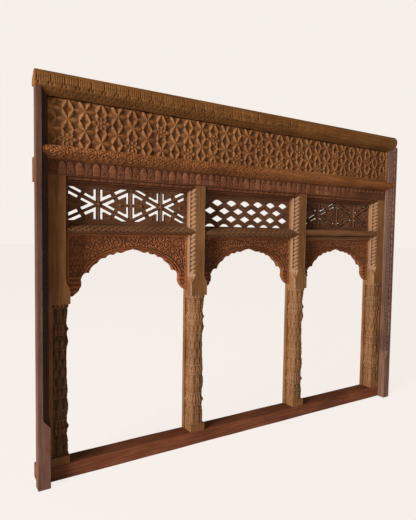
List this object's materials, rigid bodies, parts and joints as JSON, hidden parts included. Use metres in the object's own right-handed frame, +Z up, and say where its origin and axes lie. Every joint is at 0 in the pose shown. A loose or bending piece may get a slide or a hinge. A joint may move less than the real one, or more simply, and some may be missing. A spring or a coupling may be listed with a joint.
{
  "type": "carved window frame",
  "caption": "Carved wooden jharokha window: cusped arch bays between baluster columns, pierced lattices above, a star-carved panel and a reeded crown.",
  "frame": {"origin": "middle of the head beam's back face, in the window's back plane", "axes": "+X along the window to the right seen from the front, +Y out of its back, +Z up"},
  "size_m": [1.778, 0.1141, 1.345],
  "materials": {
    "sill_wood": "worn reddish brown wood",
    "post_wood": "worn purplish brown wood, carved",
    "head_wood": "aged brown wood, carved",
    "ledge_wood": "aged brown wood, carved",
    "panel_wood": "warm brown wood with dark hollows",
    "crown_wood": "golden brown wood, reeded",
    "column_wood": "golden brown wood, carved",
    "transom_wood": "dark brown wood, carved",
    "lattice_wood": "dark brown wood, pierced",
    "arch_wood": "reddish brown wood, carved"
  },
  "bodies": {
    "root": {"sill": "sill_wood", "outer_post_left": "post_wood", "outer_post_right": "post_wood", "head_beam": "head_wood", "ledge_moulding": "ledge_wood", "star_panel": "panel_wood", "crown_beam": "crown_wood", "column_1": "column_wood", "column_2": "column_wood", "column_3": "column_wood", "column_4": "column_wood", "transom_1": "transom_wood", "transom_2": "transom_wood", "transom_3": "transom_wood", "lattice_1": "lattice_wood", "lattice_2": "lattice_wood", "lattice_3": "lattice_wood", "arch_1": "arch_wood", "arch_2": "arch_wood", "arch_3": "arch_wood"}
  },
  "joints": []
}
